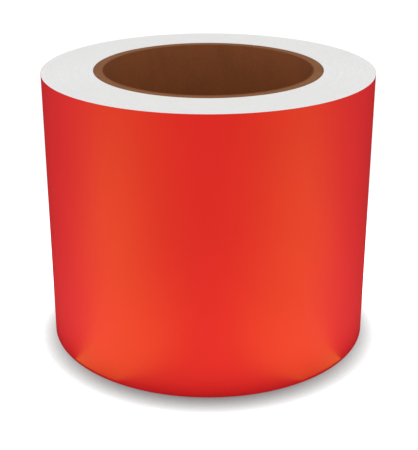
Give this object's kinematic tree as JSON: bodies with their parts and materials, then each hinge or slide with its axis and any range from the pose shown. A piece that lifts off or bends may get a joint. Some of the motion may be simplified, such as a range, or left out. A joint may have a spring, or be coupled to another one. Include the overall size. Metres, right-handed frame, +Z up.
{
  "type": "roll of sign vinyl",
  "caption": "Roll of red self-adhesive sign vinyl wound face out on an open kraft paper core, with a free tail held by clear tape.",
  "frame": {"origin": "on the roll's axis, in the plane of the lower end face, where the roll stands", "axes": "+Z is up along the roll's axis; -Y faces the viewer; the cut end lies 115 degrees anticlockwise from +X, at the back"},
  "size_m": [0.1209, 0.1211, 0.1016],
  "materials": {
    "red_film": "satin",
    "adhesive": "satin",
    "release_liner": "satin",
    "web_edges": "matte",
    "core_board": "matte",
    "core_bore_paper": "matte",
    "double_sided_tape": "matte",
    "clear_tape": "gloss"
  },
  "bodies": {
    "roll": {"core_inside_ply": "core_bore_paper", "core_body_ply_1": "core_board", "core_body_ply_2": "core_board", "core_body_ply_3": "core_board", "core_body_ply_4": "core_board", "core_body_ply_5": "core_board", "core_body_ply_6": "core_board", "core_outside_ply": "core_board", "start_tape": "double_sided_tape", "wound_turns": "web_edges", "outer_turn_liner": "release_liner", "outer_turn_adhesive": "adhesive", "outer_turn_film": "red_film"},
    "tail": {"tail_liner": "release_liner", "tail_root_adhesive": "adhesive", "tail_root_film": "red_film"},
    "peeled_film": {"tail_film": "red_film", "tail_adhesive": "adhesive", "closing_tape_fixed_end": "clear_tape"},
    "tape_end": {"closing_tape_peel_end": "clear_tape"}
  },
  "joints": [
    {"name": "tail_lift", "type": "hinge", "parent": "roll", "child": "tail", "pos_m": [0.02107, 0.05689, 0.0508], "axis": [0, 0, -1], "range_deg": [0, 60], "stiffness_Nm_per_rad": 0.003},
    {"name": "film_peel", "type": "hinge", "parent": "tail", "child": "peeled_film", "pos_m": [0.0075, 0.06021, 0.0508], "axis": [0, 0, -1], "range_deg": [0, 75], "stiffness_Nm_per_rad": 0.0005},
    {"name": "tape_peel", "type": "hinge", "parent": "peeled_film", "child": "tape_end", "pos_m": [-0.02567, 0.05505, 0.0508], "axis": [0, 0, -1], "range_deg": [0, 75], "stiffness_Nm_per_rad": 0.0001}
  ]
}
